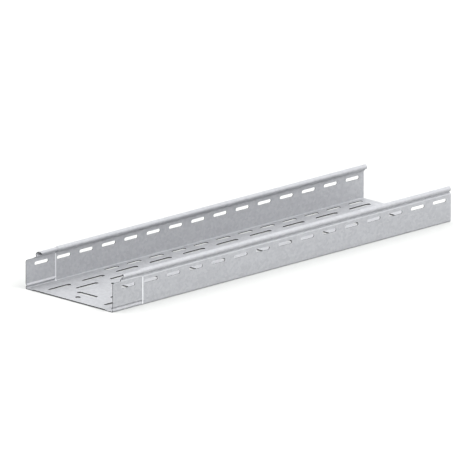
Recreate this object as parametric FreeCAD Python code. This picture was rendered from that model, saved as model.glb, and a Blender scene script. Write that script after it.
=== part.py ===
import FreeCAD, Part
import math
import os

# Perforated sheet-steel cable tray, one strip roll-formed into a channel.
# X runs along the tray from its reduced coupling end to its full end, Y across it, Z up.
# The origin is the middle of the footprint, on the level that the tray stands on.

# Driving dimensions in millimetres
tray_length = 760.0
tray_width = 197.0
tray_height = 58.0
sheet = 1.0

# Base: two flat strips that stand on the floor, with a raised panel between them
base_bend_radius = 2.5
strip_width = 16.0
step_width = 4.0
panel_rise = 1.1
end_flat_length = 10.0
end_ramp_length = 8.0

# Rolled safety edge along the top of each wall
roll_radius = 4.3
neck_radius = 0.6
neck_lean = 18.0
shoulder_lean = 60.0
shoulder_radius = 1.0
roll_end_angle = 320.0

# Reduced coupling end, which slips into the full end of the next length
coupler_length = 63.0
joggle_length = 3.0
coupler_inset = 0.4
coupler_drop = 1.3
coupler_roll_radius = 3.3
crease_height = 5.8
crease_depth = 2.0
crease_lean = 42.0
crease_radius = 0.5

# The rolled edge is cut away at the mouth of the coupling end, its inner lip on a slant
notch_height = 47.4
notch_top = 57.2
notch_start = 15.5
notch_run = 13.5
mouth_corner_radius = 3.0
lip_inset = 5.0
lip_start = 25.8
lip_slant = 55.0

# Slots that bolts use have round ends. The many others have each end in short flats.
slot_end_flats = 8
coupling_slots = 2

# Slots in the walls
wall_slot_length = 30.0
wall_slot_width = 5.5
wall_slot_height = 38.0
wall_slot_pitch = 50.0
wall_slot_first = 34.0
wall_slot_end_margin = 26.0

# Slots in the base, in rows counted from each wall inwards
base_slot_width = 7.0
edge_row_inset = 12.0
edge_slot_length = 30.0
edge_slot_pitch = 50.0
edge_slot_first = 180.0
panel_slot_length = 47.0
panel_slot_pitch = 75.0
panel_slot_first = 40.5
outer_row_inset = 36.0
inner_row_inset = 60.0
panel_end_margin = 20.0

# Slots across the base on the centre line, and the locating hole at the mouth
cross_slot_length = 43.0
cross_slot_width = 8.0
locating_hole_radius = 4.5
locating_hole_first = 19.5

# How far a cutting tool stands clear of the sheet it cuts
cut_clearance = 3.0


def unit(angle):
    turn = math.radians(angle)
    return FreeCAD.Vector(0, math.cos(turn), math.sin(turn))


def walk(moves, start, heading, side):
    # Follows straight runs and turns of the sheet's middle line, and gives the face of the
    # sheet that lies half a thickness to its left (side 1) or right (side -1).
    offset = side * sheet / 2
    here = start
    pieces = []
    for kind, size, angle in moves:
        left = unit(heading + 90)
        if kind == "run":
            ahead = here + unit(heading) * size
            pieces.append((here + left * offset, ahead + left * offset))
            here = ahead
            continue
        way = math.copysign(1, angle)
        centre = here + left * (way * size)
        reach = size - way * offset
        points = []
        for part in (0.0, 0.5, 1.0):
            spoke = unit(heading + angle * part + 90) * -way
            points.append(centre + spoke * reach)
        pieces.append(tuple(points))
        here = centre + unit(heading + angle + 90) * (-way * size)
        heading = heading + angle
    return pieces


def mirrored(pieces):
    return [tuple(FreeCAD.Vector(p.x, -p.y, p.z) for p in piece) for piece in pieces]


def backwards(pieces):
    return [tuple(reversed(piece)) for piece in reversed(pieces)]


def edge(piece):
    if len(piece) == 2:
        return Part.makeLine(piece[0], piece[1])
    return Part.Arc(piece[0], piece[1], piece[2]).toShape()


def step_moves(rise):
    # From the raised panel down to the strip in two tangent arcs, or straight where it is flat
    if rise == 0:
        return [("run", step_width / 2, 0), ("run", step_width / 2, 0)]
    lean = 2 * math.degrees(math.atan(rise / step_width))
    radius = step_width / (2 * math.sin(math.radians(lean)))
    return [("turn", radius, -lean), ("turn", radius, lean)]


def wall_moves(wall_foot, wall_top, depth):
    # Up the wall, through a crease pressed inwards, or straight over the same heights
    radius = crease_radius + sheet / 2
    lean = math.radians(crease_lean)
    bend_rise = radius * math.sin(lean)
    bend_shift = radius * (1 - math.cos(lean))
    flank = (crease_depth - 2 * bend_shift) / math.sin(lean)
    flank_rise = flank * math.cos(lean)
    half = 2 * bend_rise + flank_rise
    below = crease_height - half - wall_foot
    above = wall_top - crease_height - half
    if depth == 0:
        rises = (below, bend_rise, flank_rise, 2 * bend_rise, flank_rise, bend_rise, above)
        return [("run", rise, 0) for rise in rises]
    return [
        ("run", below, 0),
        ("turn", radius, crease_lean),
        ("run", flank, 0),
        ("turn", radius, -2 * crease_lean),
        ("run", flank, 0),
        ("turn", radius, crease_lean),
        ("run", above, 0),
    ]


def joined(moves):
    # Runs that follow each other in one line become a single run
    merged = []
    for kind, size, angle in moves:
        if kind == "run" and merged and merged[-1][0] == "run":
            size += merged.pop()[1]
        merged.append((kind, size, angle))
    return merged


def section(x, form, tidy=False):
    # Closed outline of the bent sheet at one station along the tray. Outlines that are blended
    # into each other keep their runs in matching pieces, and a tidy one has them joined.
    half_width = tray_width / 2 - form["inset"]
    roll = form["roll"]
    roll_centre = FreeCAD.Vector(x, half_width - roll, tray_height - form["drop"] - roll)
    roll_middle = roll - sheet / 2
    neck_middle = neck_radius + sheet / 2
    shoulder_middle = shoulder_radius + sheet / 2
    bend_middle = base_bend_radius - sheet / 2
    lean_heading = 90 + shoulder_lean
    neck_centre = roll_centre - unit(neck_lean + 90) * (roll_middle + neck_middle)
    lean_end = neck_centre + unit(lean_heading + 90) * neck_middle
    wall_middle = half_width - sheet / 2
    across = (wall_middle - lean_end.y) / math.sin(math.radians(shoulder_lean))
    corner_height = lean_end.z - across * math.cos(math.radians(shoulder_lean))
    tangent = shoulder_middle * math.tan(math.radians(shoulder_lean / 2))
    step_foot = tray_width / 2 - strip_width
    panel_edge = step_foot - step_width
    moves = step_moves(form["rise"])
    moves.append(("run", half_width - base_bend_radius - step_foot, 0))
    moves.append(("turn", bend_middle, 90))
    moves += wall_moves(base_bend_radius, corner_height - tangent, form["crease"])
    moves.append(("turn", shoulder_middle, shoulder_lean))
    moves.append(("run", across - tangent, 0))
    moves.append(("turn", neck_middle, neck_lean - lean_heading))
    moves.append(("turn", roll_middle, roll_end_angle - neck_lean))
    if tidy:
        moves = joined(moves)
    start = FreeCAD.Vector(x, panel_edge, form["rise"] + sheet / 2)
    outer = walk(moves, start, 0, -1)
    inner = walk(moves, start, 0, 1)
    right = outer + [(outer[-1][-1], inner[-1][-1])] + backwards(inner)
    left = backwards(mirrored(right))
    top = [(right[-1][-1], left[0][0])]
    bottom = [(left[-1][-1], right[0][0])]
    return Part.Wire([edge(piece) for piece in right + top + left + bottom])


def straight(length, x, form):
    return Part.Face(section(x, form, tidy=True)).extrude(FreeCAD.Vector(length, 0, 0))


def changing(first_x, first, last_x, last):
    return Part.makeLoft([section(first_x, first), section(last_x, last)], True, True)


def formed_sheet():
    # Coupling end, joggle, main length, then the panel runs out flat at the full end
    mouth = -tray_length / 2
    joggle_start = mouth + coupler_length
    main_start = joggle_start + joggle_length
    ramp_end = tray_length / 2 - end_flat_length
    ramp_start = ramp_end - end_ramp_length
    full = {"roll": roll_radius, "inset": 0, "drop": 0, "crease": 0, "rise": panel_rise}
    flat = dict(full, rise=0)
    reduced = dict(
        full,
        roll=coupler_roll_radius,
        inset=coupler_inset,
        drop=coupler_drop,
        crease=crease_depth,
    )
    zones = [
        straight(coupler_length, mouth, reduced),
        changing(joggle_start, reduced, main_start, full),
        straight(ramp_start - main_start, main_start, full),
        changing(ramp_start, full, ramp_end, flat),
        straight(end_flat_length, ramp_end, flat),
    ]
    return zones[0].multiFuse(zones[1:])


def slot_end(middle, along, across, radius):
    # Points round half a circle, evenly spaced
    points = []
    for step in range(slot_end_flats + 1):
        turn = math.pi * step / slot_end_flats
        spoke = along * math.sin(turn) + across * math.cos(turn)
        points.append(middle + spoke * radius)
    return points


def slot_outline(centre, along, across, length, width, bolted):
    # Straight sides with half-round ends
    shift = along * (length - width) / 2
    far_end = slot_end(centre + shift, along, across, width / 2)
    near_end = slot_end(centre - shift, along, across, -width / 2)
    edges = []
    for end, following in ((far_end, near_end), (near_end, far_end)):
        if bolted:
            edges.append(Part.Arc(end[0], end[slot_end_flats // 2], end[-1]).toShape())
        else:
            edges += [Part.makeLine(a, b) for a, b in zip(end, end[1:])]
        edges.append(Part.makeLine(end[-1], following[0]))
    return Part.Face(Part.Wire(edges))


x_axis = FreeCAD.Vector(1, 0, 0)
y_axis = FreeCAD.Vector(0, 1, 0)
z_axis = FreeCAD.Vector(0, 0, 1)


def stations(first, pitch, end_margin):
    # Distances from the mouth, one pitch apart, that keep the end margin
    count = math.floor((tray_length - end_margin - first) / pitch + 1e-6) + 1
    return [first + pitch * i for i in range(count)]


def wall_slots():
    # One tool passes through both walls
    reach = tray_width / 2 + cut_clearance
    size = (wall_slot_length, wall_slot_width)
    distances = stations(wall_slot_first, wall_slot_pitch, wall_slot_end_margin)
    tools = []
    for number, distance in enumerate(distances):
        bolted = min(number, len(distances) - 1 - number) < coupling_slots
        centre = FreeCAD.Vector(distance - tray_length / 2, -reach, wall_slot_height)
        outline = slot_outline(centre, x_axis, z_axis, *size, bolted)
        tools.append(outline.extrude(y_axis * (2 * reach)))
    return tools


def base_slot(distance, y, along, across, length, width, bolted=False):
    centre = FreeCAD.Vector(distance - tray_length / 2, y, -cut_clearance)
    outline = slot_outline(centre, along, across, length, width, bolted)
    return outline.extrude(z_axis * (2 * cut_clearance + panel_rise + sheet))


def base_slots():
    half_pitch = panel_slot_pitch / 2
    panel_margin = panel_end_margin + panel_slot_length / 2
    rows = [
        (edge_row_inset, edge_slot_first, edge_slot_pitch, edge_slot_length),
        (outer_row_inset, panel_slot_first, panel_slot_pitch, panel_slot_length),
        (inner_row_inset, panel_slot_first + half_pitch, panel_slot_pitch, panel_slot_length),
    ]
    tools = []
    for inset, first, pitch, length in rows:
        margin = panel_margin
        if inset == edge_row_inset:
            margin = wall_slot_end_margin
        for distance in stations(first, pitch, margin):
            middle = abs(distance - tray_length / 2) < pitch
            bolted = middle and inset == outer_row_inset
            for side in (-1, 1):
                y = side * (tray_width / 2 - inset)
                size = (length, base_slot_width)
                tools.append(base_slot(distance, y, x_axis, y_axis, *size, bolted))
    return tools


def cross_slots():
    tools = []
    for distance in stations(panel_slot_first, panel_slot_pitch, panel_end_margin):
        tools.append(base_slot(distance, 0, y_axis, x_axis, cross_slot_length, cross_slot_width))
    return tools


def locating_hole():
    foot = FreeCAD.Vector(locating_hole_first - tray_length / 2, 0, -cut_clearance)
    depth = 2 * cut_clearance + panel_rise + sheet
    return Part.makeCylinder(locating_hole_radius, depth, foot, z_axis)


def arc_by_angles(centre, radius, start, end):
    # Arc in the upright plane along the tray, as seen from its front wall
    points = []
    for angle in (start, (start + end) / 2, end):
        turn = math.radians(angle)
        spoke = FreeCAD.Vector(math.cos(turn), 0, math.sin(turn))
        points.append(centre + spoke * radius)
    return Part.Arc(*points).toShape()


def mouth_notch():
    # Takes the rolled edge off the mouth: a rounded corner, a level top, then an S up to the roll
    reach = tray_width / 2 + cut_clearance
    mouth = -tray_length / 2
    sweep = 2 * math.degrees(math.atan((notch_top - notch_height) / notch_run))
    radius = notch_run / (2 * math.sin(math.radians(sweep)))
    turn = mouth + notch_start
    corner_centre = FreeCAD.Vector(
        mouth + mouth_corner_radius, -reach, notch_height - mouth_corner_radius
    )
    lower_centre = FreeCAD.Vector(turn, -reach, notch_height + radius)
    upper_centre = FreeCAD.Vector(turn + notch_run, -reach, notch_top - radius)
    corner = arc_by_angles(corner_centre, mouth_corner_radius, 180, 90)
    lower = arc_by_angles(lower_centre, radius, -90, sweep - 90)
    upper = arc_by_angles(upper_centre, radius, sweep + 90, 90)
    joints = [corner.Vertexes[0].Point, corner.Vertexes[-1].Point]
    above = FreeCAD.Vector(turn + notch_run, -reach, tray_height + cut_clearance)
    beyond = FreeCAD.Vector(mouth - cut_clearance, -reach, tray_height + cut_clearance)
    beside = FreeCAD.Vector(mouth - cut_clearance, -reach, corner_centre.z)
    edges = [
        corner,
        Part.makeLine(joints[1], lower.Vertexes[0].Point),
        lower,
        upper,
        Part.makeLine(upper.Vertexes[-1].Point, above),
        Part.makeLine(above, beyond),
        Part.makeLine(beyond, beside),
        Part.makeLine(beside, joints[0]),
    ]
    return Part.Face(Part.Wire(edges)).extrude(y_axis * (2 * reach))


def lip_notch():
    # Cuts the inner lips of both rolls back at a slant, clear of the walls
    reach = tray_width / 2 - lip_inset
    mouth = -tray_length / 2
    top = tray_height + cut_clearance
    slope = math.tan(math.radians(lip_slant))
    above = mouth + lip_start - cut_clearance / slope
    below = mouth + lip_start + (tray_height - notch_height) / slope
    corners = [
        FreeCAD.Vector(mouth - cut_clearance, -reach, top),
        FreeCAD.Vector(above, -reach, top),
        FreeCAD.Vector(below, -reach, notch_height),
        FreeCAD.Vector(mouth - cut_clearance, -reach, notch_height),
    ]
    return Part.Face(Part.makePolygon(corners + corners[:1])).extrude(y_axis * (2 * reach))


def cable_tray():
    tools = wall_slots() + base_slots() + cross_slots()
    tools += [locating_hole(), mouth_notch(), lip_notch()]
    return formed_sheet().cut(tools)


os.makedirs("parts", exist_ok=True)
tray = cable_tray()
if len(tray.Solids) == 1:
    tray = tray.Solids[0]
tray.exportStep("parts/cable_tray.step")
box = tray.BoundBox
print("cable_tray solids", len(tray.Solids), "valid", tray.isValid(), "volume", round(tray.Volume))
print("box", [round(v, 3) for v in (box.XMin, box.XMax, box.YMin, box.YMax, box.ZMin, box.ZMax)])
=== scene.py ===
import math
import bpy
import numpy as np
from mathutils import Matrix, Vector


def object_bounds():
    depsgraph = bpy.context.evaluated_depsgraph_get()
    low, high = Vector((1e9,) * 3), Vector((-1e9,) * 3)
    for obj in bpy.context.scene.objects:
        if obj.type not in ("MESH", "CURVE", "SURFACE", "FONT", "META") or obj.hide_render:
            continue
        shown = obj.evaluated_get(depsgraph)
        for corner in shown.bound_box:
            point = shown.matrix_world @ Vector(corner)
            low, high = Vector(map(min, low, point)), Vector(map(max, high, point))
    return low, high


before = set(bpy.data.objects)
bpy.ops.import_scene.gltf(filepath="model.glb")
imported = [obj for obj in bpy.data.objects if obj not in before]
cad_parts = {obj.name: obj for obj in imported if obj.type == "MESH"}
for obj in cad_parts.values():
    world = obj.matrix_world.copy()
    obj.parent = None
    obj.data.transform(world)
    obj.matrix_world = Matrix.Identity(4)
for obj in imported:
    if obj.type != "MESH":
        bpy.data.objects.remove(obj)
cadLow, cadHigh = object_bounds()
print("stage: frame loaded", [round(v, 4) for v in (*cadLow, *cadHigh)])

mmPerMetre = 1000.0


def hexToLinear(code):
    # sRGB hex to linear light: a short straight toe, then a 2.4 power
    parts = np.array([int(code[i:i + 2], 16) / 255 for i in (1, 3, 5)])
    linear = np.where(parts <= 0.04045, parts / 12.92, ((parts + 0.055) / 1.055) ** 2.4)
    return (*linear.tolist(), 1.0)


def addNode(tree, kind, settings=None, inputs=None, **links):
    # One node: its settings, its fixed inputs, and what feeds it, with in0 for its first socket
    node = tree.nodes.new(kind)
    for name, value in (settings or {}).items():
        setattr(node, name, value)
    for name, value in (inputs or {}).items():
        node.inputs[name].default_value = value
    for name, source in links.items():
        tree.links.new(source, node.inputs[int(name[2:])])
    return node


# Pre-galvanised sheet steel, as it comes off the coil and through the punch and the rollers.
# The zinc skin gives a satin pale grey, a frosted patchwork of small crystals and faint
# lengthwise rolling lines. The punched edges show bare steel, painted darker than it is as
# painted shade in the slots and along the cut edges, and a painted highlight runs down each
# wall where the coupling end steps in, in place of the light on that step.
zincSheet = {
    "zinc": "#ABACAF",
    "zincPale": "#B3B4B7",
    "zincDeep": "#A2A3A6",
    # Painted highlight: a bright line standing in for the light on the step of each wall
    "zincStepHighlight": "#E8E9EB",
    # Bare steel painted darker than it is, so the cut faces also carry painted shade in the slots
    # and along the edges
    "bareSteelAndShade": "#3A3B3D",
    "spangleMm": 4.0,  # a little coarser than the real crystals, so that they show
    "frostMm": 0.7, "frostDetail": 3.0, "frostShare": 0.35,
    "rollLineMm": 1.6, "rollLineDetail": 2.0, "rollLineShare": 0.3, "rollLineStretch": 60.0,
    "toneRange": (0.15, 0.85),  # tones that get the deep and the pale zinc
    "roughness": 0.75,
    "roughnessSpread": 0.10,
    "bumpMm": 0.03,
    "cutFaces": [  # what holds on each kind of cut face: heights in mm, facings from 0 to 1
        [("facesAlong", "GREATER_THAN", 0.5), ("facesAcross", "LESS_THAN", 0.3)],  # both ends
        [("height", "LESS_THAN", 2.4), ("offMiddle", "LESS_THAN", 95.5),
         ("facesUp", "LESS_THAN", 0.6)],  # slots in the base
        [("height", "GREATER_THAN", 9.0), ("height", "LESS_THAN", 44.0),
         ("facesAcross", "LESS_THAN", 0.6)],  # slots in the walls
        [("height", "GREATER_THAN", 46.5), ("along", "LESS_THAN", 26.0),
         ("facesAcross", "LESS_THAN", 0.2)],  # the mouth's notch
    ],
    "stepMm": 66.0,  # from the coupling end to where the walls are full width
    # The painted highlight's half width, and the walls it lies on
    "stepHighlightHalfMm": 1.4,
    "stepHighlightWalls": [("offMiddle", "GREATER_THAN", 95.5), ("height", "LESS_THAN", 46.0)],
}


def surfaceReadings(tree, place):
    # Millimetres from the coupling end, from the middle and from the floor,
    # and how squarely the face looks along the tray, across it and up
    normal = addNode(tree, "ShaderNodeNewGeometry").outputs["True Normal"]
    inMm = addNode(tree, "ShaderNodeVectorMath", {"operation": "MULTIPLY_ADD"},
                   {1: [mmPerMetre] * 3, 2: (-cadLow.x * mmPerMetre, 0.0, 0.0)}, in0=place)
    where = addNode(tree, "ShaderNodeSeparateXYZ", in0=inMm.outputs[0]).outputs
    facing = addNode(tree, "ShaderNodeSeparateXYZ", in0=normal).outputs
    offMiddle, along, across, up = [
        addNode(tree, "ShaderNodeMath", {"operation": "ABSOLUTE"}, in0=value).outputs[0]
        for value in (where[1], *facing)]
    return {"along": where[0], "offMiddle": offMiddle, "height": where[2],
            "facesAlong": along, "facesAcross": across, "facesUp": up}


def whereAllHold(tree, readings, conditions):
    # 1 where every condition holds and 0 elsewhere: the product of the single tests
    product = None
    for name, comparison, limit in conditions:
        test = addNode(tree, "ShaderNodeMath", {"operation": comparison}, {1: limit},
                       in0=readings[name]).outputs[0]
        product = test if product is None else addNode(
            tree, "ShaderNodeMath", {"operation": "MULTIPLY"}, in0=product, in1=test).outputs[0]
    return product


def cutEdgeMask(tree, readings):
    # The largest of the masks of the sheet's cut faces
    mask = whereAllHold(tree, readings, zincSheet["cutFaces"][0])
    for conditions in zincSheet["cutFaces"][1:]:
        mask = addNode(tree, "ShaderNodeMath", {"operation": "MAXIMUM"}, in0=mask,
                       in1=whereAllHold(tree, readings, conditions)).outputs[0]
    return mask


def stepHighlightMask(tree, readings):
    # Painted highlight at the step of the walls: falls smoothly from 1 at the step to 0 at the
    # line's half width
    fromStep = addNode(tree, "ShaderNodeMath", {"operation": "SUBTRACT"},
                       {1: zincSheet["stepMm"]}, in0=readings["along"]).outputs[0]
    distance = addNode(tree, "ShaderNodeMath", {"operation": "ABSOLUTE"}, in0=fromStep).outputs[0]
    fade = addNode(tree, "ShaderNodeMapRange", {"interpolation_type": "SMOOTHSTEP"},
                   {"From Max": zincSheet["stepHighlightHalfMm"], "To Min": 1.0, "To Max": 0.0},
                   in0=distance).outputs[0]
    return addNode(tree, "ShaderNodeMath", {"operation": "MULTIPLY"}, in0=fade,
                   in1=whereAllHold(tree, readings, zincSheet["stepHighlightWalls"])).outputs[0]


def zincTone(tree, place):
    # One value from 0 to 1: a random tone for each crystal, mixed with frost, then rolling lines
    spangle = addNode(tree, "ShaderNodeTexVoronoi", {"feature": "F1"},
                      {"Scale": mmPerMetre / zincSheet["spangleMm"]}, in0=place)
    crystal = addNode(tree, "ShaderNodeSeparateColor", in0=spangle.outputs["Color"])
    frost = addNode(tree, "ShaderNodeTexNoise", inputs={
        "Scale": mmPerMetre / zincSheet["frostMm"], "Detail": zincSheet["frostDetail"]}, in0=place)
    stretch = addNode(tree, "ShaderNodeMapping", inputs={
        "Scale": (1 / zincSheet["rollLineStretch"], 1.0, 1.0)}, in0=place)
    rollLines = addNode(tree, "ShaderNodeTexNoise", inputs={
        "Scale": mmPerMetre / zincSheet["rollLineMm"], "Detail": zincSheet["rollLineDetail"]},
        in0=stretch.outputs[0])
    frosted = addNode(tree, "ShaderNodeMix", {"data_type": "FLOAT"},
                      {"Factor": zincSheet["frostShare"]},
                      in2=crystal.outputs[0], in3=frost.outputs[0])
    return addNode(tree, "ShaderNodeMix", {"data_type": "FLOAT"},
                   {"Factor": zincSheet["rollLineShare"]},
                   in2=frosted.outputs[0], in3=rollLines.outputs[0]).outputs[0]


def zincColour(tree, tone, readings):
    # The skin's greys by tone, then the painted highlight at the wall step and the cut faces, bare
    # steel darkened into painted shade, laid over them.
    # Sockets 0, 6 and 7 of a colour mix are its factor and its two colours.
    skin = addNode(tree, "ShaderNodeValToRGB", in0=tone)
    ramp = skin.color_ramp
    deep, pale = zincSheet["toneRange"]
    ramp.elements[0].position, ramp.elements[0].color = deep, hexToLinear(zincSheet["zincDeep"])
    ramp.elements[1].position, ramp.elements[1].color = pale, hexToLinear(zincSheet["zincPale"])
    ramp.elements.new((deep + pale) / 2).color = hexToLinear(zincSheet["zinc"])
    highlighted = addNode(tree, "ShaderNodeMix", {"data_type": "RGBA"},
                     {7: hexToLinear(zincSheet["zincStepHighlight"])},
                     in0=stepHighlightMask(tree, readings), in6=skin.outputs[0])
    # The cut faces: real bare steel, darkened further as painted shade
    return addNode(tree, "ShaderNodeMix", {"data_type": "RGBA"},
                   {7: hexToLinear(zincSheet["bareSteelAndShade"])},
                   in0=cutEdgeMask(tree, readings), in6=highlighted.outputs[2]).outputs[2]


def makeZincSheet():
    material = bpy.data.materials.new("galvanised_sheet_steel")
    material.use_nodes = True
    tree = material.node_tree
    shader = tree.nodes["Principled BSDF"]
    place = addNode(tree, "ShaderNodeTexCoord").outputs["Object"]
    tone = zincTone(tree, place)
    colour = zincColour(tree, tone, surfaceReadings(tree, place))
    halfSpread = zincSheet["roughnessSpread"] / 2
    rough = addNode(tree, "ShaderNodeMapRange", inputs={
        "To Min": zincSheet["roughness"] - halfSpread,
        "To Max": zincSheet["roughness"] + halfSpread}, in0=tone)
    bump = addNode(tree, "ShaderNodeBump", inputs={
        "Distance": zincSheet["bumpMm"] / mmPerMetre}, in3=tone)  # socket 3 is the height
    tree.links.new(colour, shader.inputs["Base Color"])
    tree.links.new(rough.outputs[0], shader.inputs["Roughness"])
    tree.links.new(bump.outputs[0], shader.inputs["Normal"])
    shader.inputs["Metallic"].default_value = 1.0
    return material


def dressTray():
    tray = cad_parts["cable_tray"]
    tray.data.materials.clear()
    tray.data.materials.append(makeZincSheet())


dressTray()
print("stage: tray dressed")

# Plain pale floor of matt card, which the strong light leaves white
floorLook = {"colour": "#B8B9B8", "roughness": 0.9, "sizeM": 40.0, "pointsAlong": 9}


def makeFloor():
    # A square grid of points at the height of the tray's footing
    half, count = floorLook["sizeM"] / 2, floorLook["pointsAlong"]
    line = np.linspace(-half, half, count)
    x, y = np.meshgrid(line, line, indexing="ij")
    points = np.stack([x, y, np.full_like(x, cadLow.z)], axis=-1).reshape(-1, 3)
    index = np.arange(count * count).reshape(count, count)
    corners = [index[:-1, :-1], index[1:, :-1], index[1:, 1:], index[:-1, 1:]]
    quads = np.stack(corners, axis=-1).reshape(-1, 4)
    mesh = bpy.data.meshes.new("floor")
    mesh.from_pydata(points.tolist(), [], quads.tolist())
    floor = bpy.data.objects.new("floor", mesh)
    bpy.context.scene.collection.objects.link(floor)
    card = bpy.data.materials.new("pale_grey_card")
    card.use_nodes = True
    shader = card.node_tree.nodes["Principled BSDF"]
    shader.inputs["Base Color"].default_value = hexToLinear(floorLook["colour"])
    shader.inputs["Roughness"].default_value = floorLook["roughness"]
    mesh.materials.append(card)


makeFloor()
print("stage: floor")

# Soft studio light: an even white surround, and one large lamp before the tray
studio = {
    "surround": "#FFFFFF", "surroundStrength": 2.1,
    "lampPlaceM": (1.5, -2.5, 2.5), "lampWatts": 60.0, "lampSizeM": 2.5,
}


def lightStudio():
    world = bpy.data.worlds.new("studio")
    world.use_nodes = True
    background = world.node_tree.nodes["Background"]
    background.inputs["Color"].default_value = hexToLinear(studio["surround"])
    background.inputs["Strength"].default_value = studio["surroundStrength"]
    lamp = bpy.data.lights.new("softbox", "AREA")
    lamp.shape = "SQUARE"
    lamp.size = studio["lampSizeM"]
    lamp.energy = studio["lampWatts"]
    holder = bpy.data.objects.new("softbox", lamp)
    holder.location = studio["lampPlaceM"]
    holder.rotation_euler = (-holder.location).to_track_quat("-Z", "Y").to_euler()
    scene = bpy.context.scene
    scene.world = world
    scene.collection.objects.link(holder)
    scene.view_settings.view_transform = "Standard"


lightStudio()
print("stage: light")

# The picture is a parallel view from the coupling end, turned 45 degrees.
# A very long lens stands in for it.
shot = {
    "pictureSize": 475, "azimuth": -45.0, "elevation": 15.55,
    "pixelsPerMetre": 628.6, "originPixel": (239.5, 255.0),
    "lensMm": 1500.0, "sensorMm": 36.0,
}


def placeCamera():
    # The camera looks at the picture's middle, on the plane through the origin that faces it
    turn, lift = math.radians(shot["azimuth"]), math.radians(shot["elevation"])
    back = Vector((math.sin(turn) * math.cos(lift), -math.cos(turn) * math.cos(lift),
                   math.sin(lift)))
    right = Vector((math.cos(turn), math.sin(turn), 0))
    up = back.cross(right)
    half = shot["pictureSize"] / 2
    shiftRight = (half - shot["originPixel"][0]) / shot["pixelsPerMetre"]
    shiftUp = (shot["originPixel"][1] - half) / shot["pixelsPerMetre"]
    target = right * shiftRight + up * shiftUp
    field = shot["pictureSize"] / shot["pixelsPerMetre"]
    distance = field * shot["lensMm"] / shot["sensorMm"]
    data = bpy.data.cameras.new("shot")
    data.lens, data.sensor_width = shot["lensMm"], shot["sensorMm"]
    data.clip_start, data.clip_end = distance / 10, distance * 2
    camera = bpy.data.objects.new("shot", data)
    aim = back.to_track_quat("Z", "Y").to_matrix().to_4x4()
    camera.matrix_world = Matrix.Translation(target + back * distance) @ aim
    bpy.context.scene.collection.objects.link(camera)
    bpy.context.scene.camera = camera


placeCamera()
print("stage: camera")
